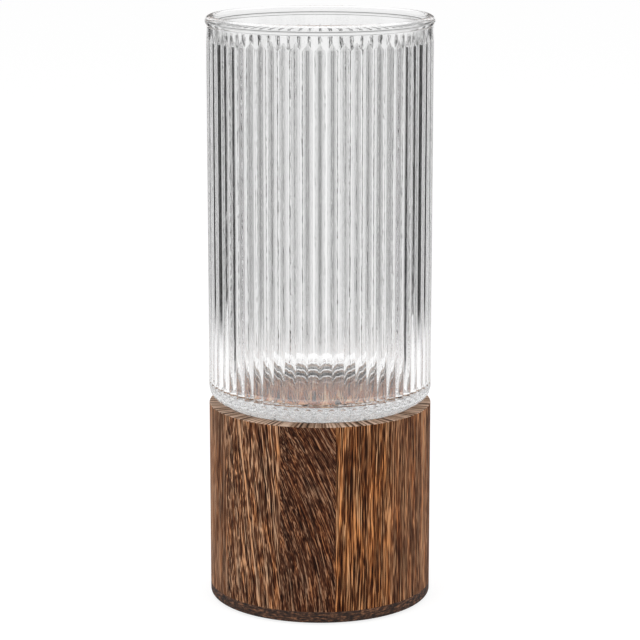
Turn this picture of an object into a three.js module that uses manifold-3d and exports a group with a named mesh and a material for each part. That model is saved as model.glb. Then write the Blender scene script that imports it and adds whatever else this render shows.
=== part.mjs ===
// A tall cylindrical flower vase: a clear pressed-glass vessel with vertical ribs, bonded to a turned
// wooden base that is glued up from upright boards and closed underneath by a thin plate and a felt disc.
// Millimetres, +Z up. The origin is on the axis, in the plane that the vase stands on.

import * as THREE from 'three';
import { mergeVertices } from 'three/addons/utils/BufferGeometryUtils.js';
import Module from 'manifold-3d';

const wasm = await Module();
wasm.setup();

// Shared by the glass and the wood, which are flush with each other.
const OUTER_RADIUS = 50;

// Wooden base.
const BLOCK_HEIGHT = 84;
const BLOCK_EDGE_BREAK = 0.4;
const BOARD_COUNT = 5;
const OFFCUT_LEFT = 16;
const OFFCUT_RIGHT = 5.5;
const PLATE_THICKNESS = 5.5;
const PLATE_EDGE_RADIUS = 2;
const FELT_THICKNESS = 1.5;
const FELT_MARGIN = 10;
const FELT_RECESS_DEPTH = 1;
const FELT_CLEARANCE = 0.3;

// Film of clear adhesive under the bearing ring of the glass.
const BOND_THICKNESS = 0.3;

// Glass vessel, measured from the plane of its bearing ring.
const GLASS_HEIGHT = 173.7;
const WALL_THICKNESS = 3.8;
const FLOOR_THICKNESS = 7;
const INNER_CORNER_RADIUS = 4;
const LIP_PROUD_OUTSIDE = 0.75;
const LIP_PROUD_INSIDE = 0.35;
const LIP_FILLET_RADIUS = 1.5;
const HEEL_RADIUS = 6;
const HEEL_LIFT = 1.4;
const BEARING_SETBACK = 7;
const BEARING_WIDTH = 2.5;
const PUNT_RISE = 3;

// Ribs pressed into the outside of the glass. Round the heel each one swells into a bead.
const RIB_COUNT = 60;
const RIB_DEPTH = 0.85;
const RIB_SHARPNESS = 3;
const RIB_START_BELOW_TOP = 7.4;
const RIB_RUNOUT_LENGTH = 3.5;
const RIB_FADE_ANGLE = Math.PI / 12;
const BEAD_DEPTH = 2;
const BEAD_SHARPNESS = 1.5;
const BEAD_ONSET = 3;

// Fineness of the faceted surfaces.
const TURNED_STEPS = 120;
const STEPS_PER_RIB = 4;
const RUNOUT_STEPS = 3;
const HEEL_STEPS = 5;
const CORNER_STEPS = 4;
const LIP_STEPS = 10;
const FILLET_STEPS = 3;
const PUNT_STEPS = 3;
const EDGE_STEPS = 4;

// Levels and radii that follow from the sizes above.
const FELT_PROUD = FELT_THICKNESS - FELT_RECESS_DEPTH;
const PLATE_BOTTOM = FELT_PROUD;
const BLOCK_BOTTOM = PLATE_BOTTOM + PLATE_THICKNESS;
const BLOCK_TOP = BLOCK_BOTTOM + BLOCK_HEIGHT;
const GLASS_BOTTOM = BLOCK_TOP + BOND_THICKNESS;
const RECESS_RADIUS = OUTER_RADIUS - FELT_MARGIN;
const BLANK_LEFT = -OUTER_RADIUS - OFFCUT_LEFT;
const BLANK_RIGHT = OUTER_RADIUS + OFFCUT_RIGHT;
const BOARD_WIDTH = (BLANK_RIGHT - BLANK_LEFT) / BOARD_COUNT;
const INNER_RADIUS = OUTER_RADIUS - WALL_THICKNESS;
const LIP_RADIUS = (WALL_THICKNESS + LIP_PROUD_OUTSIDE + LIP_PROUD_INSIDE) / 2;
const LIP_CENTRE = new THREE.Vector2(OUTER_RADIUS + LIP_PROUD_OUTSIDE - LIP_RADIUS, GLASS_HEIGHT - LIP_RADIUS);
const BEARING_OUTER_RADIUS = OUTER_RADIUS - BEARING_SETBACK;
const BEARING_INNER_RADIUS = BEARING_OUTER_RADIUS - BEARING_WIDTH;

const CLEAR_GLASS = { color: 0xe6ecec, roughness: 0.03, metalness: 0 };
const CLEAR_ADHESIVE = { color: 0xd8d6cc, roughness: 0.3, metalness: 0 };
const CHARRED_WOOD = { color: 0x5e3a22, roughness: 0.6, metalness: 0 };
const PLATE_WOOD = { color: 0x412719, roughness: 0.65, metalness: 0 };
const DARK_FELT = { color: 0x26221f, roughness: 0.95, metalness: 0 };

/** Puts a named mesh of one material at a height on the axis. */
function piece(name, geometry, finish, height) {
  const mesh = new THREE.Mesh(geometry, new THREE.MeshStandardMaterial(finish));
  mesh.name = name;
  mesh.position.z = height;
  return mesh;
}

/** Points along an arc in the plane of radius and height, from one angle to the other. */
function arc(centreRadius, centreHeight, radius, from, to, steps) {
  const curve = new THREE.EllipseCurve(centreRadius, centreHeight, radius, radius, from, to, to < from);
  return curve.getPoints(steps);
}

/** Turns a profile of (radius, height) points about +Z. It runs up the outside of the solid. */
function turned(profile) {
  return new THREE.LatheGeometry(profile, TURNED_STEPS).rotateX(Math.PI / 2);
}

/** The closed solid that a geometry bounds, ready to be cut. */
function solidOf(geometry) {
  const bare = geometry.clone();
  bare.deleteAttribute('normal');
  bare.deleteAttribute('uv');
  const merged = mergeVertices(bare);
  const corners = merged.index.array;
  const triangles = [];
  for (let i = 0; i < corners.length; i += 3) {
    const [a, b, c] = corners.slice(i, i + 3);
    if (a !== b && b !== c && c !== a) {
      triangles.push(a, b, c);
    }
  }
  return new wasm.Manifold(new wasm.Mesh({
    numProp: 3,
    vertProperties: new Float32Array(merged.attributes.position.array),
    triVerts: new Uint32Array(triangles),
  }));
}

/** The geometry of a solid after cutting. */
function geometryOf(solid) {
  const cut = solid.getMesh();
  const geometry = new THREE.BufferGeometry();
  geometry.setAttribute('position', new THREE.BufferAttribute(new Float32Array(cut.vertProperties), 3));
  geometry.setIndex(new THREE.BufferAttribute(new Uint32Array(cut.triVerts), 1));
  geometry.computeVertexNormals();
  return geometry;
}

/** The disc of felt, seated in the recess of the plate and standing a little proud of it. */
function feltDisc() {
  const radius = RECESS_RADIUS - FELT_CLEARANCE;
  return turned([
    new THREE.Vector2(0, 0),
    new THREE.Vector2(radius, 0),
    new THREE.Vector2(radius, FELT_THICKNESS),
    new THREE.Vector2(0, FELT_THICKNESS),
  ]);
}

/** The plate under the block: a disc with a rounded lower edge and a shallow recess for the felt. */
function bottomPlate() {
  const edge = arc(
    OUTER_RADIUS - PLATE_EDGE_RADIUS, PLATE_EDGE_RADIUS, PLATE_EDGE_RADIUS, -Math.PI / 2, 0, EDGE_STEPS,
  );
  return turned([
    new THREE.Vector2(0, FELT_RECESS_DEPTH),
    new THREE.Vector2(RECESS_RADIUS, FELT_RECESS_DEPTH),
    new THREE.Vector2(RECESS_RADIUS, 0),
    ...edge,
    new THREE.Vector2(OUTER_RADIUS, PLATE_THICKNESS),
    new THREE.Vector2(0, PLATE_THICKNESS),
  ]);
}

/**
 * The block, turned from a blank of upright boards, and parted again along its glue lines. The blank is
 * wider than the block, by a different offcut on each side, so the outer boards come out narrower.
 */
function blockBoards() {
  const block = solidOf(turned([
    new THREE.Vector2(0, 0),
    new THREE.Vector2(OUTER_RADIUS, 0),
    new THREE.Vector2(OUTER_RADIUS, BLOCK_HEIGHT - BLOCK_EDGE_BREAK),
    new THREE.Vector2(OUTER_RADIUS - BLOCK_EDGE_BREAK, BLOCK_HEIGHT),
    new THREE.Vector2(0, BLOCK_HEIGHT),
  ]));
  const boards = [];
  for (let i = 0; i < BOARD_COUNT; i += 1) {
    const slab = new THREE.BoxGeometry(BOARD_WIDTH, 3 * OUTER_RADIUS, 3 * BLOCK_HEIGHT);
    slab.translate(BLANK_LEFT + (i + 0.5) * BOARD_WIDTH, 0, 0);
    const board = geometryOf(block.intersect(solidOf(slab)));
    boards.push(piece(`wood_board_${i + 1}`, board, CHARRED_WOOD, BLOCK_BOTTOM));
  }
  return boards;
}

/** The ring of adhesive between the bearing ring of the glass and the top of the block. */
function bondRing() {
  return turned([
    new THREE.Vector2(BEARING_INNER_RADIUS, 0),
    new THREE.Vector2(BEARING_OUTER_RADIUS, 0),
    new THREE.Vector2(BEARING_OUTER_RADIUS, BOND_THICKNESS),
    new THREE.Vector2(BEARING_INNER_RADIUS, BOND_THICKNESS),
    new THREE.Vector2(BEARING_INNER_RADIUS, 0),
  ]);
}

/**
 * How deep the groove is at a share of a rib's pitch, from 0 and 1 in the grooves to 0.5 on the crest. The
 * greater the sharpness, the flatter the crest and the narrower the groove. Beading leads from 0, where the
 * rib is flat, to 1, where it is a round bead between deep grooves.
 */
function grooveDepth(share, beading) {
  const depth = THREE.MathUtils.lerp(RIB_DEPTH, BEAD_DEPTH, beading);
  const sharpness = THREE.MathUtils.lerp(RIB_SHARPNESS, BEAD_SHARPNESS, beading);
  return depth * Math.abs(2 * share - 1) ** sharpness;
}

/** One ring of a skin: the profile point carried round the axis, without ribs. */
function plainRing(point) {
  const count = point.x > 0 ? RIB_COUNT : 1;
  const ring = [];
  for (let i = 0; i < count; i += 1) {
    const turn = (2 * Math.PI * i) / count;
    ring.push(new THREE.Vector3(point.x * Math.cos(turn), point.x * Math.sin(turn), point.y));
  }
  return ring;
}

/**
 * One ring with the grooves sunk into it along the inward normal. The fill raises the floor of every
 * groove by the same amount, so that a groove runs out in a point as the fill nears the rib depth.
 */
function ribbedRing(point, normal, fill, beading) {
  const count = RIB_COUNT * STEPS_PER_RIB;
  const ring = [];
  for (let i = 0; i < count; i += 1) {
    const turn = (2 * Math.PI * i) / count;
    const share = (i % STEPS_PER_RIB) / STEPS_PER_RIB;
    const sink = Math.max(0, grooveDepth(share, beading) - fill);
    const radius = point.x - normal.x * sink;
    ring.push(new THREE.Vector3(radius * Math.cos(turn), radius * Math.sin(turn), point.y - normal.y * sink));
  }
  return ring;
}

/** Adds the triangles between two neighbouring rings, which may have different numbers of points. */
function joinRings(corners, near, far) {
  const nearSteps = near.count > 1 ? near.count : 0;
  const farSteps = far.count > 1 ? far.count : 0;
  let n = 0;
  let f = 0;
  while (n < nearSteps || f < farSteps) {
    const nearCorner = near.start + (n % near.count);
    const farCorner = far.start + (f % far.count);
    const farFirst = n === nearSteps || (f < farSteps && (f + 0.5) / farSteps <= (n + 0.5) / nearSteps);
    if (farFirst) {
      f += 1;
      corners.push(nearCorner, farCorner, far.start + (f % far.count));
    } else {
      n += 1;
      corners.push(nearCorner, farCorner, near.start + (n % near.count));
    }
  }
}

/** A closed skin over rings that lead from one point of the axis to another. */
function skin(rings) {
  const points = [];
  const corners = [];
  let near = null;
  for (const ring of rings) {
    const far = { start: points.length, count: ring.length };
    points.push(...ring);
    if (near) {
      joinRings(corners, near, far);
    }
    near = far;
  }
  const geometry = new THREE.BufferGeometry().setFromPoints(points);
  geometry.setIndex(corners);
  geometry.computeVertexNormals();
  return geometry;
}

/** Inside of the vessel from the middle of its floor, over the rolled lip and down to the neck. */
function insideAndLip() {
  const cornerRadius = INNER_RADIUS - INNER_CORNER_RADIUS;
  const cornerHeight = FLOOR_THICKNESS + INNER_CORNER_RADIUS;
  const corner = arc(cornerRadius, cornerHeight, INNER_CORNER_RADIUS, -Math.PI / 2, 0, CORNER_STEPS);
  const lipStart = Math.PI + Math.acos((LIP_RADIUS - LIP_PROUD_INSIDE) / LIP_RADIUS);
  const reach = LIP_RADIUS + LIP_FILLET_RADIUS;
  const filletRadius = OUTER_RADIUS + LIP_FILLET_RADIUS;
  const filletDrop = Math.sqrt(reach ** 2 - (filletRadius - LIP_CENTRE.x) ** 2);
  const lipEnd = -Math.asin(filletDrop / reach);
  const lip = arc(LIP_CENTRE.x, LIP_CENTRE.y, LIP_RADIUS, lipStart, lipEnd, LIP_STEPS);
  const filletHeight = LIP_CENTRE.y - filletDrop;
  const fillet = arc(filletRadius, filletHeight, LIP_FILLET_RADIUS, Math.PI + lipEnd, Math.PI, FILLET_STEPS);
  return [new THREE.Vector2(0, FLOOR_THICKNESS), ...corner, ...lip, ...fillet.slice(1)].map(plainRing);
}

/** The ribbed wall, from the pointed tops of its grooves to the beads that they part round the heel. */
function ribbedOutside() {
  const outward = new THREE.Vector2(1, 0);
  const rings = [];
  for (let i = 0; i <= RUNOUT_STEPS; i += 1) {
    const share = i / RUNOUT_STEPS;
    const height = GLASS_HEIGHT - RIB_START_BELOW_TOP - share * RIB_RUNOUT_LENGTH;
    rings.push(ribbedRing(new THREE.Vector2(OUTER_RADIUS, height), outward, RIB_DEPTH * (1 - share), 0));
  }
  const fadeStart = Math.PI / 2 - RIB_FADE_ANGLE;
  const centre = new THREE.Vector2(OUTER_RADIUS - HEEL_RADIUS, HEEL_LIFT + HEEL_RADIUS);
  for (let i = 0; i <= HEEL_STEPS; i += 1) {
    const dip = (Math.PI / 2) * (i / HEEL_STEPS);
    const normal = new THREE.Vector2(Math.cos(dip), -Math.sin(dip));
    const point = centre.clone().addScaledVector(normal, HEEL_RADIUS);
    const fade = Math.max(0, (dip - fadeStart) / RIB_FADE_ANGLE);
    const beading = Math.max(0, Math.min(1, BEAD_ONSET * Math.sin(2 * dip)));
    rings.push(ribbedRing(point, normal, RIB_DEPTH * fade, beading));
  }
  return rings;
}

/** Underside of the vessel: the bearing ring and the shallow punt that rises inside it. */
function underside() {
  const rings = [plainRing(new THREE.Vector2(BEARING_OUTER_RADIUS, 0))];
  for (let i = 0; i <= PUNT_STEPS; i += 1) {
    const share = 1 - i / PUNT_STEPS;
    const height = PUNT_RISE * (1 - share ** 2);
    rings.push(plainRing(new THREE.Vector2(BEARING_INNER_RADIUS * share, height)));
  }
  return rings;
}

/** The vessel as one closed skin. */
function glassVessel() {
  return skin([...insideAndLip(), ...ribbedOutside(), ...underside()]);
}

const vase = new THREE.Group();
vase.add(piece('felt_disc', feltDisc(), DARK_FELT, 0));
vase.add(piece('bottom_plate', bottomPlate(), PLATE_WOOD, PLATE_BOTTOM));
vase.add(...blockBoards());
vase.add(piece('bond_ring', bondRing(), CLEAR_ADHESIVE, BLOCK_TOP));
vase.add(piece('glass_vessel', glassVessel(), CLEAR_GLASS, GLASS_BOTTOM));

export default vase;
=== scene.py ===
"""Looks of a flower vase: a ribbed vessel of clear pressed glass on a block of charred, brushed wood.

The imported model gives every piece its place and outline. Each class below makes one sub-assembly: it
works its surfaces out in millimetres with numpy, writes them as meshes in metres, and dresses them.
"""

import logging
import math
from dataclasses import dataclass, field
from enum import Enum
from typing import Any

import bpy
import numpy as np
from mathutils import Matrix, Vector


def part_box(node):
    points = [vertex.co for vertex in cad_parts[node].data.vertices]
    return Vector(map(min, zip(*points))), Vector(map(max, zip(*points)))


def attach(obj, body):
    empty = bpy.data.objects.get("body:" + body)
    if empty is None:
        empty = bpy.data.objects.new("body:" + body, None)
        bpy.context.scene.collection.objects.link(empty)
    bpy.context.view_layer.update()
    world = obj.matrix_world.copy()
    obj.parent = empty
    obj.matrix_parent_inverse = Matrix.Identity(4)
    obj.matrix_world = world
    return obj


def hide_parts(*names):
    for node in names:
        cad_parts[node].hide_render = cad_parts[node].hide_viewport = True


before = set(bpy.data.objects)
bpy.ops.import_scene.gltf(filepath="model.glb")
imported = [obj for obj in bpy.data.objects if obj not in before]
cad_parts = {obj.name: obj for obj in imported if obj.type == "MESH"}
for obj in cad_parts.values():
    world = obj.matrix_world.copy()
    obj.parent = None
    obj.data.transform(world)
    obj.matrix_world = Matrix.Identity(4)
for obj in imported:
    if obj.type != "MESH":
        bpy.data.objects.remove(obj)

log = logging.getLogger("vase")

MM = 0.001
BODY = "root"


class Slot(Enum):
    """The record's material slots."""

    GLASS = "clear_glass"
    ADHESIVE = "clear_adhesive"
    BLOCK = "charred_wood"
    PLATE = "plate_wood"
    FELT = "dark_felt"


class Visibility(Enum):
    """Which rays a light level is meant for."""

    PICTURE = ("Is Camera Ray",)
    SEEN_IN_GLASS = ("Is Glossy Ray", "Is Transmission Ray")
    THROUGH_GLASS = ("Is Transmission Ray",)
    SHADOW = ("Is Shadow Ray",)


def linear(code: str) -> tuple[float, float, float, float]:
    """Turns an sRGB hex colour into the linear values that a shader takes.

    Args:
        code: Colour as "#RRGGBB".

    Returns:
        Linear red, green and blue, with an alpha of 1.
    """
    shares = [int(code[i:i + 2], 16) / 255 for i in (1, 3, 5)]
    curve = [s / 12.92 if s <= 0.04045 else ((s + 0.055) / 1.055) ** 2.4 for s in shares]
    return (curve[0], curve[1], curve[2], 1.0)


def node(tree: bpy.types.NodeTree, kind: str, inputs: dict[Any, Any] | None = None,
         stops: list[tuple[float, str]] | None = None, **settings: Any) -> bpy.types.Node:
    """Adds one node with its settings and links.

    Args:
        tree: Node tree that gets the node.
        kind: Type of the node, without the "ShaderNode" in front.
        inputs: Value, or socket to link from, for each input by name or number.
        stops: Places and hex colours of a colour ramp.
        settings: Attributes of the node.

    Returns:
        The node.
    """
    made = tree.nodes.new("ShaderNode" + kind)
    for name, value in settings.items():
        setattr(made, name, value)
    for key, value in (inputs or {}).items():
        if isinstance(value, bpy.types.NodeSocket):
            tree.links.new(value, made.inputs[key])
        else:
            made.inputs[key].default_value = value
    if stops:
        elements = made.color_ramp.elements
        while len(elements) < len(stops):
            elements.new(1.0)
        for element, (place, code) in zip(elements, stops):
            element.position = place
            element.color = linear(code)
    return made


def ray_share(tree: bpy.types.NodeTree, *wanted: Visibility) -> bpy.types.NodeSocket:
    """Gives 1 for the wanted kinds of rays and 0 for the others.

    Args:
        tree: Node tree of the material or world.
        wanted: Kinds of rays.

    Returns:
        The socket that holds the share.
    """
    path = node(tree, "LightPath")
    names = [name for kind in wanted for name in kind.value]
    total = path.outputs[names[0]]
    for name in names[1:]:
        total = node(tree, "Math", {0: total, 1: path.outputs[name]}, operation="MAXIMUM").outputs[0]
    return total


def blank_material(name: str) -> tuple[bpy.types.Material, bpy.types.NodeTree, bpy.types.Node]:
    """Makes an empty node material.

    Args:
        name: Name of the material.

    Returns:
        The material, its node tree and its output node.
    """
    material = bpy.data.materials.new(name)
    material.use_nodes = True
    material.node_tree.nodes.clear()
    return material, material.node_tree, node(material.node_tree, "OutputMaterial")


def millimetres(tree: bpy.types.NodeTree) -> bpy.types.NodeSocket:
    """Gives the place on the object in millimetres, for patterns with real sizes."""
    place = node(tree, "TexCoord").outputs["Object"]
    return node(tree, "VectorMath", {0: place, "Scale": 1 / MM}, operation="SCALE").outputs[0]


def piece_from(name: str, points: np.ndarray, faces: list[np.ndarray],
               replaced: str, material: bpy.types.Material, crease: float) -> bpy.types.Object:
    """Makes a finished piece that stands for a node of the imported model.

    Args:
        name: Name of the piece.
        points: Corners in millimetres, one row each.
        faces: Arrays of corner numbers, one array for each number of sides.
        replaced: Node that the piece stands for.
        material: Finish of the piece.
        crease: Angle in degrees above which an edge stays sharp.

    Returns:
        The object, at the origin.
    """
    corners = np.concatenate([rows.ravel() for rows in faces]).astype(np.int32)
    sides = np.concatenate([np.full(len(rows), rows.shape[1]) for rows in faces])
    mesh = bpy.data.meshes.new(name)
    mesh.vertices.add(len(points))
    mesh.vertices.foreach_set("co", (points * MM).astype(np.float32).ravel())
    mesh.loops.add(len(corners))
    mesh.loops.foreach_set("vertex_index", corners)
    mesh.polygons.add(len(sides))
    mesh.polygons.foreach_set("loop_start", np.concatenate([[0], np.cumsum(sides)[:-1]]).astype(np.int32))
    mesh.polygons.foreach_set("use_smooth", np.ones(len(sides), bool))
    mesh.update(calc_edges=True)
    mesh.validate()
    mesh.set_sharp_from_angle(angle=math.radians(crease))
    mesh.materials.append(material)
    piece = bpy.data.objects.new(name, mesh)
    bpy.context.scene.collection.objects.link(piece)
    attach(piece, BODY)
    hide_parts(replaced)
    log.info("%s: %d corners, %d faces", name, len(points), len(sides))
    return piece


def quads_between(rows: int, columns: int, ring: bool = False) -> np.ndarray:
    """Corner numbers of a grid of quads whose columns close round an axis.

    Quad (i, j) joins grid points (i, j), (i, j + 1), (i + 1, j + 1) and (i + 1, j). Its outside is on
    the right of a row seen along it when the next row lies above.

    Args:
        rows: Number of rows of the grid.
        columns: Number of columns of the grid.
        ring: Whether the last row joins the first one as well.

    Returns:
        Array of corner numbers, one quad a row.
    """
    i, j = np.meshgrid(np.arange(rows if ring else rows - 1), np.arange(columns), indexing="ij")
    above = (i + 1) % rows
    beside = (j + 1) % columns
    quads = [i * columns + j, i * columns + beside, above * columns + beside, above * columns + j]
    return np.stack(quads, -1).reshape(-1, 4)


def closed_skin(grid: np.ndarray, low_pole: float, high_pole: float) -> tuple[np.ndarray, list[np.ndarray]]:
    """Closes a grid of rings with a fan to a point on the axis at each end.

    Args:
        grid: Points as rows x columns x 3, whose first row is the lowest seen from outside.
        low_pole: Height of the point that closes the first ring.
        high_pole: Height of the point that closes the last ring.

    Returns:
        Points and faces of the closed skin.
    """
    rows, columns = grid.shape[:2]
    points = np.vstack([grid.reshape(-1, 3), [0, 0, low_pole], [0, 0, high_pole]])
    first = np.arange(columns)
    last = first + (rows - 1) * columns
    low_fan = np.stack([np.roll(first, -1), first, np.full(columns, rows * columns)], -1)
    high_fan = np.stack([last, np.roll(last, -1), np.full(columns, rows * columns + 1)], -1)
    return points, [quads_between(rows, columns), np.vstack([low_fan, high_fan])]


def arc(radius: float, height: float, size: float, start: float, end: float, steps: int) -> np.ndarray:
    """Points on an arc in the plane of radius and height.

    A point at angle a is (radius + size cos a, height + size sin a).

    Args:
        radius: Radius at which the arc's centre stands.
        height: Height of the arc's centre.
        size: Radius of the arc itself.
        start: First angle in radians.
        end: Last angle in radians.
        steps: Number of stretches.

    Returns:
        Array of steps + 1 points.
    """
    angle = np.linspace(start, end, steps + 1)
    return np.stack([radius + size * np.cos(angle), height + size * np.sin(angle)], -1)


def turned(profile: np.ndarray, columns: int) -> np.ndarray:
    """Carries a profile round the axis.

    The point (r, z) of the profile goes to (r cos t, r sin t, z) for columns equal steps of t.

    Args:
        profile: Points of radius and height.
        columns: Number of steps round the axis.

    Returns:
        Grid of points, one ring for each point of the profile.
    """
    turn = 2 * np.pi * np.arange(columns) / columns
    radius, height = profile[:, :1], profile[:, 1:]
    return np.stack([radius * np.cos(turn), radius * np.sin(turn), height + 0 * turn], -1)


@dataclass(frozen=True)
class ClearPressedGlass:
    """Soda-lime glass, pressed in a ribbed mould and fire-polished.

    It is colourless and sharp, and the mould leaves a faint unevenness that makes the lines seen
    through the ribs waver.
    """

    tint: str = "#FEFEFE"
    roughness: float = 0.0
    refraction: float = 1.52
    waver_mm: float = 1.1
    waver_length_mm: float = 6.875
    waver_height_mm: float = 0.012

    def material(self) -> bpy.types.Material:
        """Builds the material. Lamps shine through it, so that the wood under the glass is lit.

        Returns:
            The material.
        """
        material, tree, output = blank_material("clear_pressed_glass")
        place = millimetres(tree)
        upright = self.waver_mm / self.waver_length_mm
        stretched = node(tree, "VectorMath", {0: place, 1: (1.0, 1.0, upright)}, operation="MULTIPLY")
        waver = node(tree, "TexNoise", {"Vector": stretched.outputs[0], "Scale": 1 / self.waver_mm,
                                        "Detail": 2.0, "Roughness": 0.55})
        bump = node(tree, "Bump", {"Height": waver.outputs["Fac"], "Strength": 1.0,
                                   "Distance": self.waver_height_mm * MM})
        glass = node(tree, "BsdfPrincipled", {
            "Base Color": linear(self.tint), "Roughness": self.roughness, "IOR": self.refraction,
            "Transmission Weight": 1.0, "Normal": bump.outputs[0]})
        clear = node(tree, "BsdfTransparent")
        lit = node(tree, "MixShader", {0: ray_share(tree, Visibility.SHADOW), 1: glass.outputs[0],
                                       2: clear.outputs[0]})
        tree.links.new(lit.outputs[0], output.inputs["Surface"])
        return material


@dataclass(frozen=True)
class ClearAdhesive:
    """Clear adhesive, cured under the glass: a slightly milky film."""

    tint: str = "#E4E0D6"
    roughness: float = 0.25
    refraction: float = 1.48
    patch_mm: float = 2.5
    patch_height_mm: float = 0.1

    def material(self) -> bpy.types.Material:
        """Builds the material. Lamps shine through it, as they do through the glass.

        Returns:
            The material.
        """
        material, tree, output = blank_material("clear_adhesive")
        uneven = node(tree, "TexNoise", {"Vector": millimetres(tree), "Scale": 1 / self.patch_mm,
                                         "Detail": 3.0})
        bump = node(tree, "Bump", {"Height": uneven.outputs["Fac"], "Strength": 0.5,
                                   "Distance": self.patch_height_mm * MM})
        film = node(tree, "BsdfPrincipled", {
            "Base Color": linear(self.tint), "Roughness": self.roughness, "IOR": self.refraction,
            "Transmission Weight": 1.0, "Normal": bump.outputs[0]})
        clear = node(tree, "BsdfTransparent")
        lit = node(tree, "MixShader", {0: ray_share(tree, Visibility.SHADOW), 1: film.outputs[0],
                                       2: clear.outputs[0]})
        tree.links.new(lit.outputs[0], output.inputs["Surface"])
        return material


@dataclass(frozen=True)
class Stripe:
    """A stripe that runs up a board with its fibres: lighter with a strength above 0, darker below."""

    across_mm: float
    half_width_mm: float
    strength: float
    from_height_mm: float = 0.0
    to_height_mm: float = 100.0
    soft_end_mm: float = 9.0


@dataclass(frozen=True)
class CharredBrushedWood:
    """Open-pored wood, charred with a flame, wire-brushed and left matt.

    The flame darkens the soft early wood, and the brush wears it away between the hard, orange-tan
    late wood, so the sides show fine light streaks that stand proud on a chocolate ground. On the
    sawn end grain on top, the rim round the glass is a painted pale sheen of the white surroundings,
    with dark radial strokes that are painted shadows of the glass ribs. Under the glass it has the warm
    colour of the wood and its annual lines, painted lighter for the light that the glass holds back.

    A board's tones run from its darkest to its lightest streaks. Balance and contrast shift and spread
    them, warmth moves them from smoky to orange, and lean and bow turn the fibres off the upright.
    """

    seed: float
    tones: tuple[str, ...]
    balance: float = 0.0
    contrast: float = 1.0
    lean: float = 0.0
    bow_per_mm: float = 0.0
    bow_foot_mm: float = 0.0
    wander_mm: float = 2.4
    wander_across_mm: float = 20.0
    wander_along_mm: float = 50.0
    streak_mm: float = 0.42
    streak_length_mm: float = 20.0
    ring_pitch_mm: float = 1.9
    ring_drift: float = 14.0
    warmth: float = 0.5
    relief_mm: float = 0.4
    refraction: float = 1.45
    stripes: tuple[Stripe, ...] = ()
    # Pale rim round the glass: a painted sheen of the white surroundings; its dark end paints the shadows of
    # the glass ribs.
    rim_sheen_and_shadow_tones: tuple[str, ...] = ("#2E1D14", "#5E4435", "#8E7058", "#B4957E", "#E0C2AC")
    # Warm wood under the glass, painted lighter to stand in for the light that the glass holds back.
    covered_tones_painted_lighter: tuple[str, ...] = ("#240A02", "#74340F", "#C26830", "#F09A5C", "#FFD8AC")
    cover_radius_mm: float = 43.0
    cover_edge_mm: float = 1.0
    # Scale of the noise that paints the shadows of the glass ribs on the rim.
    rib_shadow_strokes_per_radius: float = 34.0
    speckle_mm: float = 5 / 7
    covered_ring_mm: float = 20 / 9
    covered_ring_length_mm: float = 100 / 3
    end_begins_mm: float = 0.25
    end_full_mm: float = 0.1

    def fibre_place(self, tree: bpy.types.NodeTree) -> tuple[bpy.types.NodeSocket, bpy.types.Node]:
        """Straightens the fibres, so that a pattern stretched along Z follows them.

        A point (x, y, z) goes to (x + lean z + bow (z - foot)^2 + w, y + w, z), where w is a slow noise.
        The seed then moves each board to a part of the noise of its own.

        Args:
            tree: Node tree of the material.

        Returns:
            The straightened place, and the node with the separate coordinates of the place on the object.
        """
        place = millimetres(tree)
        parts = node(tree, "SeparateXYZ", {0: place})
        height = parts.outputs["Z"]
        above_foot = node(tree, "Math", {0: height, 1: self.bow_foot_mm}, operation="SUBTRACT").outputs[0]
        squared = node(tree, "Math", {0: above_foot, 1: above_foot}, operation="MULTIPLY").outputs[0]
        bowed = node(tree, "Math", {0: squared, 1: self.bow_per_mm, 2: parts.outputs["X"]},
                     operation="MULTIPLY_ADD").outputs[0]
        leaned = node(tree, "Math", {0: height, 1: self.lean, 2: bowed}, operation="MULTIPLY_ADD").outputs[0]
        joined = node(tree, "CombineXYZ", {"X": leaned, "Y": parts.outputs["Y"], "Z": height}).outputs[0]
        offset = node(tree, "VectorMath", {0: joined, 1: (self.seed, 1.7 * self.seed, 3.1 * self.seed)},
                      operation="ADD").outputs[0]
        across = 1 / self.wander_across_mm
        slow = node(tree, "VectorMath", {0: offset, 1: (across, across, 1 / self.wander_along_mm)},
                    operation="MULTIPLY").outputs[0]
        wander = node(tree, "TexNoise", {"Vector": slow, "Scale": 1.0, "Detail": 2.0})
        centred = node(tree, "VectorMath", {0: wander.outputs["Color"], 1: (-0.5, -0.5, -0.5)},
                       operation="ADD").outputs[0]
        moved = node(tree, "VectorMath", {0: centred, 1: (self.wander_mm, self.wander_mm, 0.0), 2: offset},
                     operation="MULTIPLY_ADD").outputs[0]
        return moved, parts

    def streaks(self, tree: bpy.types.NodeTree, place: bpy.types.NodeSocket, width_mm: float,
                length_mm: float, detail: float = 1.0) -> bpy.types.NodeSocket:
        """Noise drawn out along the fibres, between -0.5 and 0.5.

        Args:
            tree: Node tree of the material.
            place: Straightened place in millimetres.
            width_mm: Size of the pattern across the fibres.
            length_mm: Size of the pattern along the fibres.
            detail: Octaves of finer noise.

        Returns:
            The socket with the noise.
        """
        scale = (1 / width_mm, 1 / width_mm, 1 / length_mm)
        drawn = node(tree, "VectorMath", {0: place, 1: scale}, operation="MULTIPLY").outputs[0]
        noise = node(tree, "TexNoise", {"Vector": drawn, "Scale": 1.0, "Detail": detail, "Roughness": 0.6})
        return node(tree, "Math", {0: noise.outputs["Fac"], 1: 0.5}, operation="SUBTRACT").outputs[0]

    def light_fibres(self, tree: bpy.types.NodeTree, place: bpy.types.NodeSocket) -> bpy.types.NodeSocket:
        """Thin light fibres: the lines along which a drawn-out noise passes through its middle.

        Args:
            tree: Node tree of the material.
            place: Straightened place in millimetres.

        Returns:
            The socket with 1 on a fibre and 0 beside it.
        """
        base = self.streaks(tree, place, 3.0 * self.streak_mm, 2.5 * self.streak_length_mm)
        away = node(tree, "Math", {0: base}, operation="ABSOLUTE").outputs[0]
        half_width = 0.05
        return node(tree, "MapRange", {"Value": away, "From Min": half_width, "From Max": 0.0}).outputs[0]

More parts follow.
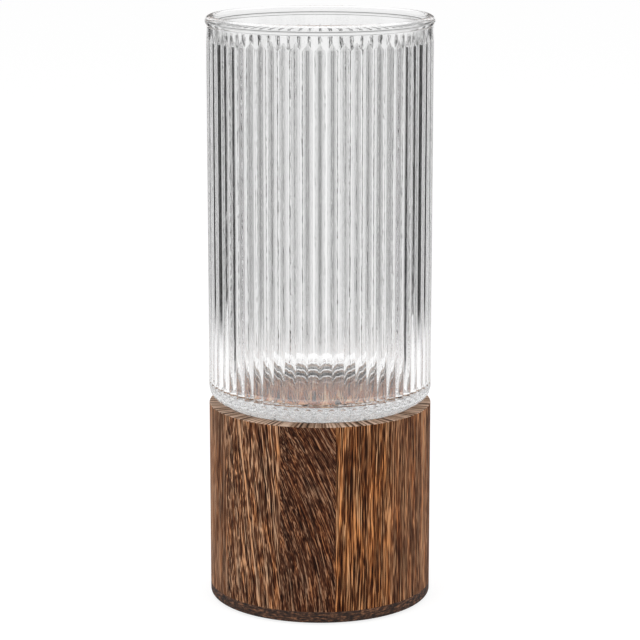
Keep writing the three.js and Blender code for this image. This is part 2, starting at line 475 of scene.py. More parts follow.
    def growth_rings(self, tree: bpy.types.NodeTree, place: bpy.types.NodeSocket) -> bpy.types.NodeSocket:
        """Lines of the annual rings, which the saw met edge on: sin(2 pi x / pitch + drift).

        The drift is a slow noise that widens and narrows the rings, as good and bad years do.

        Args:
            tree: Node tree of the material.
            place: Straightened place in millimetres.

        Returns:
            The socket with the wave, between -1 and 1.
        """
        across = node(tree, "SeparateXYZ", {0: place}).outputs["X"]
        years = self.streaks(tree, place, 5.0, 50.0, 2.0)
        drift = node(tree, "Math", {0: years, 1: self.ring_drift}, operation="MULTIPLY").outputs[0]
        phase = node(tree, "Math", {0: across, 1: 2 * math.pi / self.ring_pitch_mm, 2: drift},
                     operation="MULTIPLY_ADD").outputs[0]
        return node(tree, "Math", {0: phase}, operation="SINE").outputs[0]

    def stripe_sum(self, tree: bpy.types.NodeTree, place: bpy.types.NodeSocket,
                   height: bpy.types.NodeSocket) -> Any:
        """Adds the board's own stripes up, each with soft edges and soft ends.

        Args:
            tree: Node tree of the material.
            place: Straightened place in millimetres.
            height: Height on the object in millimetres.

        Returns:
            The board's balance, or the socket with the sum of balance and stripes if it has any.
        """
        across = node(tree, "SeparateXYZ", {0: place}).outputs["X"]
        total: Any = self.balance
        for stripe in self.stripes:
            centre = stripe.across_mm + self.seed
            away = node(tree, "Math", {0: across, 1: centre}, operation="SUBTRACT").outputs[0]
            away = node(tree, "Math", {0: away}, operation="ABSOLUTE").outputs[0]
            body = node(tree, "MapRange", {"Value": away, "From Min": stripe.half_width_mm, "From Max": 0.0,
                                           "To Max": stripe.strength}, interpolation_type="SMOOTHSTEP")
            soft = stripe.soft_end_mm
            rise = node(tree, "MapRange", {"Value": height, "From Min": stripe.from_height_mm - soft,
                                           "From Max": stripe.from_height_mm + soft})
            fall = node(tree, "MapRange", {"Value": height, "From Min": stripe.to_height_mm + soft,
                                           "From Max": stripe.to_height_mm - soft})
            reach = node(tree, "Math", {0: rise.outputs[0], 1: fall.outputs[0]}, operation="MULTIPLY")
            total = node(tree, "Math", {0: body.outputs[0], 1: reach.outputs[0], 2: total},
                         operation="MULTIPLY_ADD").outputs[0]
        return total

    def warmed(self, tree: bpy.types.NodeTree, place: bpy.types.NodeSocket,
               colour: bpy.types.NodeSocket) -> bpy.types.NodeSocket:
        """Lets the hue drift between smoky and orange streaks.

        Args:
            tree: Node tree of the material.
            place: Straightened place in millimetres.
            colour: Colour to drift from.

        Returns:
            The socket with the drifted colour.
        """
        drift = self.streaks(tree, place, 2.0, 22.0)
        hue = node(tree, "Math", {0: drift, 1: self.warmth}, operation="ADD").outputs[0]
        tint = node(tree, "ValToRGB", {0: hue},
                    stops=[(0.3, "#DDE6EE"), (0.5, "#F8F4F0"), (0.7, "#FFE3C2")])
        return node(tree, "Mix", {"Factor": 1.0, 6: colour, 7: tint.outputs["Color"]},
                    data_type="RGBA", blend_type="MULTIPLY").outputs[2]

    def end_grain(self, tree: bpy.types.NodeTree) -> bpy.types.NodeSocket:
        """Colour of the sawn top: a painted pale sheen round the glass, and warm brown under it, painted
        lighter.

        The dark strokes of the pale rim, painted shadows of the glass ribs, are a noise on the direction
        from the axis, so they don't change along a radius, and lie about 1.5 mm apart at the rim. The lines
        under the glass run along Y.

        Args:
            tree: Node tree of the material.

        Returns:
            The socket with the colour.
        """
        place = millimetres(tree)
        flat = node(tree, "VectorMath", {0: place, 1: (1.0, 1.0, 0.0)}, operation="MULTIPLY").outputs[0]
        direction = node(tree, "VectorMath", {0: flat}, operation="NORMALIZE").outputs[0]
        # The dark radial strokes are painted shadows of the glass ribs.
        strokes = self.rib_shadow_strokes_per_radius
        around = node(tree, "VectorMath", {0: direction, 1: (strokes, strokes, 0.0)}, operation="MULTIPLY")
        rib_shadow_noise = node(tree, "TexNoise", {"Vector": around.outputs[0], "Scale": 1.0, "Detail": 1.0})
        pores = node(tree, "TexNoise", {"Vector": place, "Scale": 1 / self.speckle_mm, "Detail": 3.0})
        speckled = node(tree, "Math", {0: pores.outputs["Fac"], 1: 0.6, 2: -0.3}, operation="MULTIPLY_ADD")
        tone = node(tree, "Math", {0: rib_shadow_noise.outputs["Fac"], 1: 3.6, 2: -1.15},
                    operation="MULTIPLY_ADD")
        tone = node(tree, "Math", {0: tone.outputs[0], 1: speckled.outputs[0]}, operation="ADD").outputs[0]
        # The pale rim tones are a painted sheen of the white surroundings, with painted rib shadows at the
        # dark end.
        rim_places = np.linspace(0.1, 0.95, len(self.rim_sheen_and_shadow_tones)).tolist()
        rim = node(tree, "ValToRGB", {0: tone}, stops=list(zip(rim_places, self.rim_sheen_and_shadow_tones)))
        ring_scale = (1 / self.covered_ring_mm, 1 / self.covered_ring_length_mm, 0.0)
        drawn = node(tree, "VectorMath", {0: flat, 1: ring_scale}, operation="MULTIPLY").outputs[0]
        rings = node(tree, "TexNoise", {"Vector": drawn, "Scale": 1.0, "Detail": 2.0})
        tone = node(tree, "Math", {0: rings.outputs["Fac"], 1: 3.6, 2: -1.3}, operation="MULTIPLY_ADD")
        tone = node(tree, "Math", {0: tone.outputs[0], 1: speckled.outputs[0]}, operation="ADD").outputs[0]
        # The warm tones under the glass are the wood's colour, painted lighter for the light that the glass
        # holds back.
        covered_places = np.linspace(0.1, 0.9, len(self.covered_tones_painted_lighter)).tolist()
        covered = node(tree, "ValToRGB", {0: tone}, stops=list(zip(covered_places, self.covered_tones_painted_lighter)))
        # Past the cover radius, the open rim's painted sheen and painted rib shadows take over.
        radius = node(tree, "VectorMath", {0: flat}, operation="LENGTH").outputs["Value"]
        outside = node(tree, "MapRange", {
            "Value": radius, "From Min": self.cover_radius_mm - self.cover_edge_mm,
            "From Max": self.cover_radius_mm}).outputs[0]
        return node(tree, "Mix", {"Factor": outside, 6: covered.outputs["Color"], 7: rim.outputs["Color"]},
                    data_type="RGBA").outputs[2]

    def material(self, name: str, top_mm: float) -> bpy.types.Material:
        """Builds the material. The tone is the sum of the layers, each times its share.

        The streaks are about 0.4 mm wide, coarser than the finest real ones, so that they show.

        Args:
            name: Name of the material.
            top_mm: Height of the end grain on the object.

        Returns:
            The material.
        """
        material, tree, output = blank_material(name)
        place, parts = self.fibre_place(tree)
        height = parts.outputs["Z"]
        fine = self.streaks(tree, place, self.streak_mm, self.streak_length_mm)
        pores = self.streaks(tree, place, 0.8 * self.streak_mm, 0.22 * self.streak_length_mm, 0.0)
        layers = (
            (0.4, self.streaks(tree, place, 6.0, 40.0)),
            (0.15, self.streaks(tree, place, 2.6 * self.streak_mm, 1.8 * self.streak_length_mm)),
            (2.9, fine),
            (1.3, pores),
            (0.9, self.light_fibres(tree, place)),
            (0.13, self.growth_rings(tree, place)),
        )
        tone: Any = self.stripe_sum(tree, place, height)
        for share, layer in layers:
            tone = node(tree, "Math", {0: layer, 1: share * self.contrast, 2: tone},
                        operation="MULTIPLY_ADD").outputs[0]
        centred = node(tree, "Math", {0: tone, 1: 0.5}, operation="ADD").outputs[0]
        places = np.linspace(0.05, 1.0, len(self.tones)).tolist()
        side = node(tree, "ValToRGB", {0: centred}, stops=list(zip(places, self.tones)))
        warm = self.warmed(tree, place, side.outputs["Color"])
        is_end = node(tree, "MapRange", {"Value": height, "From Min": top_mm - self.end_begins_mm,
                                         "From Max": top_mm - self.end_full_mm})
        colour = node(tree, "Mix", {"Factor": is_end.outputs[0], 6: warm, 7: self.end_grain(tree)},
                      data_type="RGBA")
        relief = node(tree, "Math", {0: fine, 1: 0.8, 2: pores}, operation="MULTIPLY_ADD")
        bump = node(tree, "Bump", {"Height": relief.outputs[0], "Strength": 0.8,
                                   "Distance": self.relief_mm * MM})
        # The hard light streaks are a little glossier than the charred ground.
        rough = node(tree, "MapRange", {"Value": centred, "To Min": 0.75, "To Max": 0.55})
        wood = node(tree, "BsdfPrincipled", {
            "Base Color": colour.outputs[2], "Roughness": rough.outputs[0], "IOR": self.refraction,
            "Specular IOR Level": 0.15, "Normal": bump.outputs[0]})
        tree.links.new(wood.outputs[0], output.inputs["Surface"])
        return material


@dataclass(frozen=True)
class CharredPlateWood:
    """The same wood with its grain lying flat, darker than the boards, and rounded over along its edge."""

    tones: tuple[str, ...] = ("#160D08", "#2C1C14", "#40291D", "#583B2A", "#8A5E42")
    grain_mm: float = 5 / 7
    grain_length_mm: float = 10 / 3
    fleck_mm: float = 10 / 7
    relief_mm: float = 0.4
    roughness: float = 0.65
    refraction: float = 1.45

    def material(self) -> bpy.types.Material:
        """Builds the material. Its grain lies flat, so the pattern is drawn out along X and Y.

        Returns:
            The material.
        """
        material, tree, output = blank_material("charred_plate_wood")
        place = millimetres(tree)
        along = 1 / self.grain_length_mm
        drawn = node(tree, "VectorMath", {0: place, 1: (along, along, 1 / self.grain_mm)},
                     operation="MULTIPLY").outputs[0]
        grain = node(tree, "TexNoise", {"Vector": drawn, "Scale": 1.0, "Detail": 3.0, "Roughness": 0.65})
        flecks = node(tree, "TexNoise", {"Vector": place, "Scale": 1 / self.fleck_mm, "Detail": 2.0})
        tone = node(tree, "Math", {0: grain.outputs["Fac"], 1: 2.2, 2: -1.0}, operation="MULTIPLY_ADD")
        tone = node(tree, "Math", {0: flecks.outputs["Fac"], 1: 0.9, 2: tone.outputs[0]},
                    operation="MULTIPLY_ADD")
        places = np.linspace(0.15, 0.9, len(self.tones)).tolist()
        ramp = node(tree, "ValToRGB", {0: tone.outputs[0]}, stops=list(zip(places, self.tones)))
        bump = node(tree, "Bump", {"Height": tone.outputs[0], "Strength": 0.8,
                                   "Distance": self.relief_mm * MM})
        wood = node(tree, "BsdfPrincipled", {
            "Base Color": ramp.outputs["Color"], "Roughness": self.roughness, "IOR": self.refraction,
            "Normal": bump.outputs[0]})
        tree.links.new(wood.outputs[0], output.inputs["Surface"])
        return material


@dataclass(frozen=True)
class DarkFelt:
    """Needled wool felt: a matt mat of short fibres with a faint nap."""

    tones: tuple[str, ...] = ("#16120F", "#2A2521", "#3E3731")
    fibre_mm: float = 5 / 12
    nap_mm: float = 0.3
    roughness: float = 0.95

    def material(self) -> bpy.types.Material:
        """Builds the material. The fibres are about 0.4 mm across, coarser than real wool, so they show.

        Returns:
            The material.
        """
        material, tree, output = blank_material("dark_felt")
        fibres = node(tree, "TexNoise", {"Vector": millimetres(tree), "Scale": 1 / self.fibre_mm,
                                         "Detail": 4.0, "Roughness": 0.7, "Distortion": 1.5})
        places = np.linspace(0.3, 0.7, len(self.tones)).tolist()
        ramp = node(tree, "ValToRGB", {0: fibres.outputs["Fac"]}, stops=list(zip(places, self.tones)))
        bump = node(tree, "Bump", {"Height": fibres.outputs["Fac"], "Strength": 0.9,
                                   "Distance": self.nap_mm * MM})
        felt = node(tree, "BsdfPrincipled", {
            "Base Color": ramp.outputs["Color"], "Roughness": self.roughness, "Sheen Weight": 0.3,
            "Sheen Roughness": 0.5, "Normal": bump.outputs[0]})
        tree.links.new(felt.outputs[0], output.inputs["Surface"])
        return material


@dataclass
class GlassVessel:
    """The ribbed vessel: heavy floor, smooth inside, rolled lip and convex ribs that wrap under the heel.

    Sizes are in millimetres. The hollow under the floor, which stands over the wood and is closed all
    round, is 2 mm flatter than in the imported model, so that the wood shows through further back.
    """

    wall: float = 3.8
    floor: float = 7.0
    inner_corner: float = 4.0
    lip_proud_outside: float = 0.75
    lip_proud_inside: float = 0.35
    lip_fillet: float = 1.5
    heel: float = 6.0
    heel_lift: float = 1.4
    bearing_setback: float = 7.0
    bearing_width: float = 2.5
    punt_rise: float = 1.0
    ribs: int = 60
    rib_depth: float = 0.85
    groove_power: float = 3.0
    rib_start: float = 7.4
    runout: float = 3.5
    fade_angle: float = math.pi / 12
    bead_depth: float = 2.0
    bead_power: float = 1.5
    bead_onset: float = 3.0
    valley: float = 0.05
    crease: float = 0.04
    steps_per_rib: int = 16
    crowding: float = 0.7
    lip_steps: int = 26
    heel_steps: int = 14
    punt_steps: int = 8
    runout_rows: int = 13
    finish: ClearPressedGlass = field(default_factory=ClearPressedGlass)

    def __post_init__(self) -> None:
        """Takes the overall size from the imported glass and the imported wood."""
        low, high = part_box("glass_vessel")
        self.base = low.z / MM
        self.height = (high.z - low.z) / MM
        self.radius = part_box("bottom_plate")[1].x / MM

    def inside_and_lip(self) -> np.ndarray:
        """Profile from the neck over the rolled lip and down the smooth inside to the floor.

        The lip is a round tube as thick as the wall and its two overhangs. A small fillet leads from
        the tube to the outside of the wall, and a larger one from the inside of the wall to the floor.

        Returns:
            Points of radius and height, in millimetres over the bearing ring.
        """
        tube = (self.wall + self.lip_proud_outside + self.lip_proud_inside) / 2
        tube_radius = self.radius + self.lip_proud_outside - tube
        tube_height = self.height - tube
        reach = tube + self.lip_fillet
        fillet_radius = self.radius + self.lip_fillet
        drop = math.sqrt(reach ** 2 - (fillet_radius - tube_radius) ** 2)
        leave = -math.asin(drop / reach)
        inner = math.pi + math.acos((tube - self.lip_proud_inside) / tube)
        inside = self.radius - self.wall
        corner_radius = inside - self.inner_corner
        lip = arc(tube_radius, tube_height, tube, leave, inner, self.lip_steps)
        wall_heights = self.supported(lip[-1, 1], self.floor + self.inner_corner)
        floor_radii = corner_radius * np.array([0.99, 0.97, 0.66, 0.33])
        return np.vstack([
            arc(fillet_radius, tube_height - drop, self.lip_fillet, math.pi, math.pi + leave, 5)[:-1],
            lip,
            np.stack([np.full(len(wall_heights), inside), wall_heights], -1),
            arc(corner_radius, self.floor + self.inner_corner, self.inner_corner, 0, -math.pi / 2, 8),
            np.stack([floor_radii, np.full(len(floor_radii), self.floor)], -1),
        ])

    def supported(self, start: float, end: float) -> np.ndarray:
        """Heights of rings on a straight wall between two curves.

        Two rings lie close to each end, so that smooth shading keeps the wall straight. The others
        share out what is left between them.

        Args:
            start: Height at which the first curve ends.
            end: Height at which the second curve starts.

        Returns:
            Heights in order, without the two ends.
        """
        way = math.copysign(1.0, end - start)
        near, next_to, inset = 0.3 * way, 1.2 * way, 8 * way
        middle = np.linspace(start + inset, end - inset, 5)
        return np.concatenate([[start + near, start + next_to], middle, [end - next_to, end - near]])

    def underside_and_heel(self) -> tuple[np.ndarray, np.ndarray, np.ndarray, np.ndarray]:
        """Profile from the punt over the bearing ring and the heel to the straight wall.

        The punt rises as rise (1 - s^2), with s from 0 on the axis to 1 at the bearing ring. The beading
        is onset sin(2 dip), held between 0 and 1, so the beads are deepest half way round the heel.

        Returns:
            Points, outward normals, how far the floor of the grooves is filled at each point, and how
            far the grooves are beads there.
        """
        bearing_out = self.radius - self.bearing_setback
        bearing_in = bearing_out - self.bearing_width
        share = np.linspace(1 / self.punt_steps, 1, self.punt_steps)
        punt = np.stack([bearing_in * share, self.punt_rise * (1 - share ** 2)], -1)
        dip = np.linspace(-np.pi / 2, 0, self.heel_steps + 1)
        heel = arc(self.radius - self.heel, self.heel_lift + self.heel, self.heel, -np.pi / 2, 0,
                   self.heel_steps)
        fade = np.clip((-dip - (np.pi / 2 - self.fade_angle)) / self.fade_angle, 0, 1)
        points = np.vstack([punt, [bearing_out, 0], heel])
        flat = len(points) - len(heel)
        normals = np.vstack([np.tile([0.0, -1.0], (flat, 1)), np.stack([np.cos(dip), np.sin(dip)], -1)])
        fill = np.concatenate([np.ones(flat), fade]) * self.rib_depth
        beading = np.concatenate([np.zeros(flat), np.clip(self.bead_onset * np.sin(-2 * dip), 0, 1)])
        return points, normals, fill, beading

    def grid(self) -> np.ndarray:
        """Whole skin of the vessel, from the underside to the inside of the floor.

        A groove's depth over one pitch is depth (1 - d)^power, where d is the distance from the nearer
        groove in half pitches, rounded as sqrt(d^2 + valley^2). Depth and power go from the ribs' to the
        beads' with the beading. A fill raises the floor of the grooves along the outward normal, so that
        they run out in points under the lip and fade under the heel. What is left of a depth x is
        (x + sqrt(x^2 + crease^2)) / 2, which softens the edge where a groove ends. Columns crowd towards
        the grooves: share = t - crowding sin(2 pi t) / (2 pi).

        Returns:
            Points as rows x columns x 3, in millimetres over the bearing ring.
        """
        low, low_normals, low_fill, low_beading = self.underside_and_heel()
        run = np.linspace(0, 1, self.runout_rows)
        run_heights = self.height - self.rib_start - (1 - run) * self.runout
        straight = self.supported(low[-1, 1], run_heights[0])
        wall_heights = np.concatenate([straight, run_heights])
        wall = np.stack([np.full(len(wall_heights), self.radius), wall_heights], -1)
        upper = self.inside_and_lip()
        points = np.vstack([low, wall, upper])
        normals = np.vstack([low_normals, np.tile([1.0, 0.0], (len(wall) + len(upper), 1))])
        fill = np.concatenate([low_fill, np.zeros(len(straight)), run * self.rib_depth,
                               np.full(len(upper), self.rib_depth)])

        step = np.arange(self.steps_per_rib) / self.steps_per_rib
        share = step - self.crowding * np.sin(2 * np.pi * step) / (2 * np.pi)
        turn = (2 * np.pi * (np.arange(self.ribs)[:, None] + share) / self.ribs).ravel()
        away = np.tile(1 - np.abs(2 * share - 1), self.ribs)
        rounded = np.sqrt(away ** 2 + self.valley ** 2)
        beading = np.concatenate([low_beading, np.zeros(len(wall) + len(upper))])[:, None]
        power = self.groove_power + (self.bead_power - self.groove_power) * beading
        depth = self.rib_depth + (self.bead_depth - self.rib_depth) * beading
        over = depth * np.clip(1 - rounded, 0, 1) ** power - fill[:, None]
        sink = (over + np.sqrt(over ** 2 + self.crease ** 2)) / 2
        sink = np.where(fill[:, None] >= self.rib_depth, 0.0, sink)
        radius = points[:, :1] - normals[:, :1] * sink
        height = points[:, 1:] - normals[:, 1:] * sink
        return np.stack([radius * np.cos(turn), radius * np.sin(turn), height], -1)

    def build(self) -> bpy.types.Object:
        """Makes the vessel as one closed skin with its finish.

        Returns:
            The vessel.
        """
        points, faces = closed_skin(self.grid(), self.punt_rise, self.floor)
        points[:, 2] += self.base
        return piece_from("ribbed_glass_vessel", points, faces, "glass_vessel",
                          self.finish.material(), crease=50)


@dataclass
class WoodBlock:
    """The turned block of upright boards, each with its own figure."""

    edge_break: float = 0.4
    edge_steps: int = 4
    arc_points: int = 48
    finishes: tuple[CharredBrushedWood, ...] = ()

    def __post_init__(self) -> None:
        """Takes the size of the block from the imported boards."""
        self.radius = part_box("bottom_plate")[1].x / MM
        low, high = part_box("wood_board_3")
        self.bottom = low.z / MM
        self.top = high.z / MM

    def outline(self, left: float, right: float, radius: float) -> np.ndarray:
        """Outline of a board seen from above, anticlockwise from its front left corner.

        The front and back are arcs of the block, and the sides are its straight glue lines.

        Args:
            left: X of the left glue line.
            right: X of the right glue line.
            radius: Radius of the block at this height.

        Returns:
            Points of X and Y.
        """
        start, end = np.arcsin(np.clip([left / radius, right / radius], -1, 1))
        angle = np.linspace(start, end, self.arc_points)
        front = np.stack([radius * np.sin(angle), -radius * np.cos(angle)], -1)
        back = front[::-1] * [1, -1]
        # On an outer board the two arcs meet in a point, which is kept once.
        same = 1e-6
        if abs(back[-1, 1] - front[0, 1]) < same:
            back = back[:-1]
        if abs(back[0, 1] - front[-1, 1]) < same:
            back = back[1:]
        return np.vstack([front, back])

    def board(self, number: int, finish: CharredBrushedWood) -> bpy.types.Object:
        """Makes one board: its outline carried up the block, with the turned edge broken at the top.

        Args:
            number: Number of the board from the left.
            finish: Figure of the board.

        Returns:
            The board.
        """
        low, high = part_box(f"wood_board_{number}")
        left, right = low.x / MM, high.x / MM
        turn = np.linspace(0, np.pi / 2, self.edge_steps + 1)
        radii = np.concatenate([[self.radius], self.radius - self.edge_break * (1 - np.cos(turn))])
        heights = np.concatenate([[self.bottom], self.top - self.edge_break * (1 - np.sin(turn))])
        loops = [self.outline(left, right, radius) for radius in radii]
        columns = len(loops[0])
        points = np.vstack([np.column_stack([loop, np.full(columns, height)])
                            for loop, height in zip(loops, heights)])
        first = np.arange(columns)
        caps = np.vstack([first[::-1], first + (len(radii) - 1) * columns])
        return piece_from(f"charred_board_{number}", points, [quads_between(len(radii), columns), caps],
                          f"wood_board_{number}",
                          finish.material(f"charred_brushed_wood_{number}", self.top), crease=35)

    def build(self) -> list[bpy.types.Object]:
        """Makes all the boards from left to right."""
        return [self.board(i + 1, finish) for i, finish in enumerate(self.finishes)]


@dataclass
class FootParts:
    """What closes the block: the plate under it, the felt in the plate, and the adhesive on the block."""

    plate_edge: float = 2.0
    felt_margin: float = 10.0
    recess: float = 1.0
    felt_edge: float = 0.25
    film_neck: float = 0.15
    film_gap: float = 0.02
    columns: int = 360
    plate_finish: CharredPlateWood = field(default_factory=CharredPlateWood)
    felt_finish: DarkFelt = field(default_factory=DarkFelt)
    film_finish: ClearAdhesive = field(default_factory=ClearAdhesive)

    def plate(self) -> bpy.types.Object:
        """Makes the plate: a disc with a rounded lower edge and a shallow recess for the felt.

        Returns:
            The plate.
        """
        low, high = (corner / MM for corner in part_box("bottom_plate"))
        recess_radius = high.x - self.felt_margin
        profile = np.vstack([
            [recess_radius, low.z + self.recess],
            [recess_radius, low.z],
            arc(high.x - self.plate_edge, low.z + self.plate_edge, self.plate_edge, -np.pi / 2, 0, 10),
            [high.x, high.z],
        ])
        points, faces = closed_skin(turned(profile, self.columns), low.z + self.recess, high.z)
        return piece_from("charred_bottom_plate", points, faces, "bottom_plate",
                          self.plate_finish.material(), crease=35)

    def felt(self) -> bpy.types.Object:
        """Makes the felt disc with softened edges.

        Returns:
            The felt disc.
        """
        low, high = (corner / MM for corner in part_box("felt_disc"))
        edge = self.felt_edge
        profile = np.vstack([
            arc(high.x - edge, low.z + edge, edge, -np.pi / 2, 0, 4),
            arc(high.x - edge, high.z - edge, edge, 0, np.pi / 2, 4),
        ])
        points, faces = closed_skin(turned(profile, self.columns), low.z, high.z)
        return piece_from("felt_pad", points, faces, "felt_disc",
                          self.felt_finish.material(), crease=60)

    def film(self, ring_width: float) -> bpy.types.Object:
        """Makes the film of adhesive, whose free edges are drawn in a little between glass and wood.

        Args:
            ring_width: Width of the bearing ring of the glass.

        Returns:
            The film.
        """
        low, high = (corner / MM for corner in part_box("bond_ring"))
        middle = (low.z + high.z) / 2
        inner = high.x - ring_width
        bottom, top = low.z + self.film_gap, high.z - self.film_gap
        profile = np.array([
            [inner, bottom], [high.x, bottom], [high.x - self.film_neck, middle],
            [high.x, top], [inner, top], [inner + self.film_neck, middle]])
        points = turned(profile, self.columns).reshape(-1, 3)
        faces = [quads_between(len(profile), self.columns, ring=True)]
        return piece_from("adhesive_film", points, faces, "bond_ring",
                          self.film_finish.material(), crease=60)


@dataclass(frozen=True)
class Lamp:
    """A round softbox, with its place and width in metres."""

    name: str
    place: tuple[float, float, float]
    size: float
    watts: float


@dataclass
class Studio:
    """White floor and surroundings, soft lamps and the camera.

    The picture's background is white. What glass shows of the surroundings is white too, apart from
    dark flags, which give clear glass its lines. Upright ones stand between the four sides, below the
    horizon, where the straight wall shows them and the heel doesn't. Level ones run round as rings: low
    ones for the outlines of lip and neck, and one overhead for the beads of the heel.

    Sizes are in metres. Each screen is an angle in degrees from the middle of a side, where 45 is the
    corner, with its tone. Each height is an angle in degrees above the horizon, with its share of white.
    """

    floor_radius: float = 6.0
    floor_steps: int = 96
    near_floor: float = 0.46
    near_floor_edge: float = 0.06
    floor_bounce: str = "#E8E8E8"
    floor_seen_share: float = 0.3
    floor_glow: float = 0.8
    floor_glow_mirrored: float = 0.25
    sides: int = 4
    white_level: float = 0.92
    screens: tuple[tuple[float, str], ...] = (
        (0.0, "#FFFFFF"), (17.7, "#FFFFFF"), (18.3, "#060606"), (33.7, "#060606"), (34.3, "#FFFFFF"),
        (41.0, "#FFFFFF"), (42.0, "#060606"), (45.0, "#060606"))
    heights: tuple[tuple[float, float], ...] = (
        (-90.0, 1.0), (1.0, 1.0), (3.0, 0.2), (7.0, 0.2), (9.0, 1.0), (12.5, 1.0), (12.9, 0.1), (14.0, 0.1),
        (14.3, 1.0), (56.0, 1.0), (60.0, 0.05), (74.0, 0.05), (78.0, 1.0), (90.0, 1.0))
    horizon: float = 0.05
    fill_level: float = 0.62
    # Light passes many glass walls in the ribs, and each path that is cut short ends black.
    max_bounces: int = 36
    aim: tuple[float, float, float] = (0.0, 0.0, 0.127)
    eye: tuple[float, float, float] = (0.0, -1.113, 0.3653)
    tilt: float = math.radians(12.085)
    lens: float = 142.27
    lamps: tuple[Lamp, ...] = (
        Lamp("left_softbox", (-0.95, -0.85, 0.75), 0.8, 5.0),
        Lamp("right_softbox", (0.95, -0.85, 0.75), 0.8, 4.2),
        Lamp("top_softbox", (0.0, 0.15, 1.5), 0.9, 5.0),
    )

    def surroundings(self) -> None:
        """Sets the world: white to the camera, flagged to glass, and an even fill to everything else.

        The screens repeat on every side: (1 + cos(sides x azimuth)) / 2 runs from 1 straight behind a
        side to 0 at the corner between two sides, and each screen's edges are soft. They fade out over
        the horizon. The heights are a ramp on (1 + sin(height)) / 2, and both are multiplied.
        """
        world = bpy.data.worlds.new("white_studio")
        bpy.context.scene.world = world
        world.use_nodes = True
        tree = world.node_tree
        tree.nodes.clear()
        way = node(tree, "SeparateXYZ", {0: node(tree, "TexCoord").outputs["Generated"]})
        azimuth = node(tree, "Math", {0: way.outputs["X"], 1: way.outputs["Y"]}, operation="ARCTAN2")
        phase = node(tree, "Math", {0: azimuth.outputs[0], 1: float(self.sides)}, operation="MULTIPLY")
        wave = node(tree, "Math", {0: phase.outputs[0]}, operation="COSINE")
        share = node(tree, "MapRange", {"Value": wave.outputs[0], "From Min": -1.0, "From Max": 1.0})
        stops = [((1 + math.cos(math.radians(self.sides * angle))) / 2, tone)
                 for angle, tone in reversed(self.screens)]
        screens = node(tree, "ValToRGB", {0: share.outputs[0]}, stops=stops)
        lift = node(tree, "MapRange", {"Value": way.outputs["Z"], "From Min": -1.0, "From Max": 1.0})
        rise = node(tree, "ValToRGB", {0: lift.outputs[0]})
        levels = rise.color_ramp.elements
        while len(levels) < len(self.heights):
            levels.new(1.0)
        for level, (angle, share_of_white) in zip(levels, self.heights):
            level.position = (1 + math.sin(math.radians(angle))) / 2
            level.color = (share_of_white, share_of_white, share_of_white, 1.0)
        above = node(tree, "MapRange", {"Value": way.outputs["Z"], "From Min": -self.horizon,
                                        "From Max": self.horizon})
        upright = node(tree, "Math", {0: screens.outputs["Color"], 1: above.outputs[0]}, operation="MAXIMUM")
        level = node(tree, "Math", {0: upright.outputs[0], 1: rise.outputs["Color"]}, operation="MULTIPLY")
        level = node(tree, "Math", {0: level.outputs[0], 1: self.white_level}, operation="MULTIPLY")
        in_glass = node(tree, "Mix", {0: ray_share(tree, Visibility.SEEN_IN_GLASS), 2: self.fill_level,
                                      3: level.outputs[0]}, data_type="FLOAT")
        strength = node(tree, "Mix", {0: ray_share(tree, Visibility.PICTURE), 2: in_glass.outputs[0],
                                      3: 1.0}, data_type="FLOAT")
        light = node(tree, "Background", {"Color": (1.0, 1.0, 1.0, 1.0), "Strength": strength.outputs[0]})
        output = node(tree, "OutputWorld", {"Surface": light.outputs[0]})
        output.is_active_output = True

    def floor_material(self) -> bpy.types.Material:
        """White floor: its own light makes it white in the picture, and lamps shade it round the object.

        Glass sees a square of it round the object, dimmer where it mirrors it than where it lets it
        through, and the flagged surroundings beyond that square.

        Returns:
            The material.
        """
        material, tree, output = blank_material("white_floor")
        seen = ray_share(tree, Visibility.PICTURE, Visibility.SEEN_IN_GLASS)
        share = self.floor_seen_share
        albedo = node(tree, "Mix", {0: seen, 6: linear(self.floor_bounce), 7: (share, share, share, 1.0)},
                      data_type="RGBA")
        cloth = node(tree, "BsdfDiffuse", {"Color": albedo.outputs[2]})
        straight = ray_share(tree, Visibility.PICTURE, Visibility.THROUGH_GLASS)
        level = node(tree, "MapRange", {"Value": straight, "To Min": self.floor_glow_mirrored,
                                        "To Max": self.floor_glow})
        glow = node(tree, "Math", {0: seen, 1: level.outputs[0]}, operation="MULTIPLY")
        own = node(tree, "Emission", {"Color": (1.0, 1.0, 1.0, 1.0), "Strength": glow.outputs[0]})
        both = node(tree, "AddShader", {0: cloth.outputs[0], 1: own.outputs[0]})
        place = node(tree, "TexCoord").outputs["Object"]
        size = node(tree, "VectorMath", {0: place}, operation="ABSOLUTE")
        apart = node(tree, "SeparateXYZ", {0: size.outputs[0]})
        away = node(tree, "Math", {0: apart.outputs["X"], 1: apart.outputs["Y"]}, operation="MAXIMUM")
        far = node(tree, "MapRange", {
            "Value": away.outputs[0], "From Min": self.near_floor - self.near_floor_edge,
            "From Max": self.near_floor + self.near_floor_edge}, interpolation_type="SMOOTHSTEP")
        beyond = node(tree, "Math", {0: far.outputs[0], 1: ray_share(tree, Visibility.SEEN_IN_GLASS)},
                      operation="MULTIPLY")
        clear = node(tree, "BsdfTransparent")
        mixed = node(tree, "MixShader", {0: beyond.outputs[0], 1: both.outputs[0], 2: clear.outputs[0]})
        tree.links.new(mixed.outputs[0], output.inputs["Surface"])
        return material

